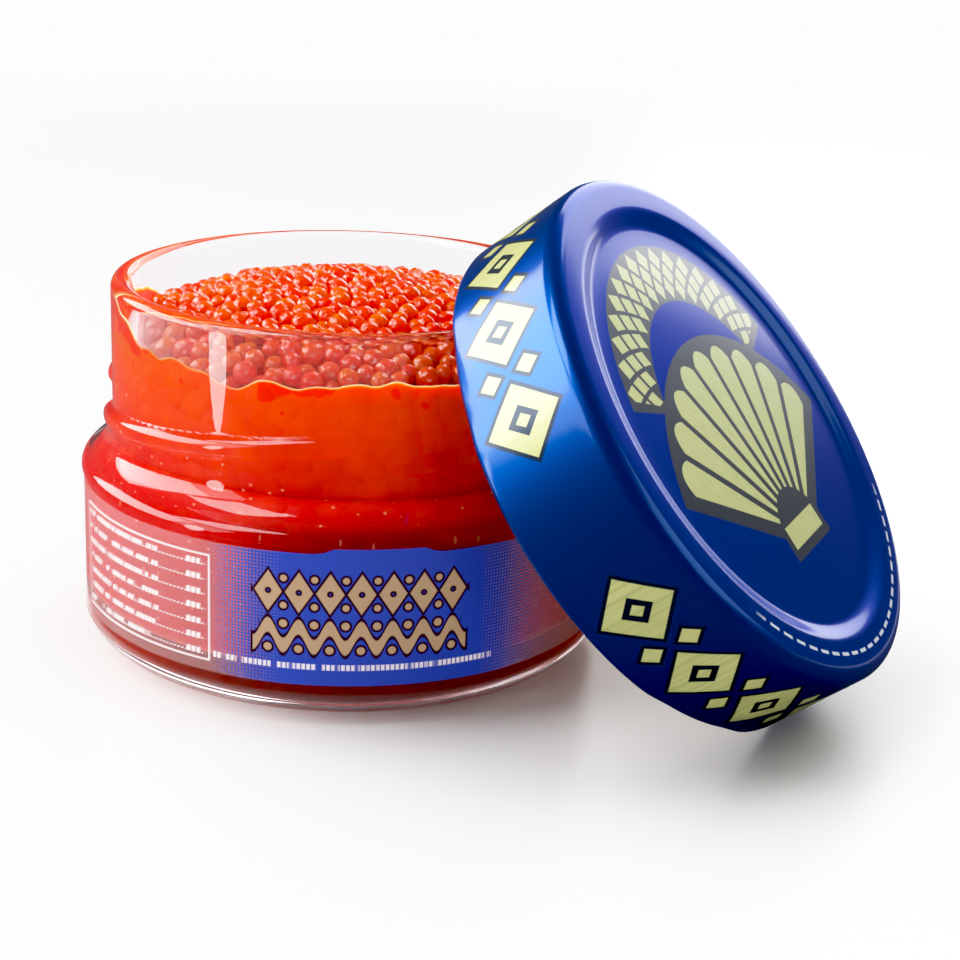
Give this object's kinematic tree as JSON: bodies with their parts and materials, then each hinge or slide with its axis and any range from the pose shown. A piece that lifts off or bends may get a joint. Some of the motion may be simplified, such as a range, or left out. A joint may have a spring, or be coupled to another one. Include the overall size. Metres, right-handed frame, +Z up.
{
  "type": "salmon roe in a glass jar",
  "caption": "Low round glass jar heaped with orange fish roe, with a printed film label and a deep blue lug cap leaning on its rim.",
  "frame": {"origin": "on the table, below the middle of the whole thing's footprint", "axes": "+Z up, +X to the right from the jar towards the cap, +Y to the back"},
  "size_m": [0.108, 0.0916, 0.0639],
  "materials": {
    "jar_glass": "clear flint glass, smooth and thick, with rounded rim and moulded thread ridges",
    "roe_grain": "wet, translucent orange grains",
    "label_film": "clear film printed in blue, fading to clear at the sides",
    "lid_lacquer": "deep blue satin lacquer on tinplate, printed in gold and black"
  },
  "bodies": {
    "root": {"jar": "jar_glass", "roe": "roe_grain", "label": "label_film", "lid": "lid_lacquer"}
  },
  "joints": []
}
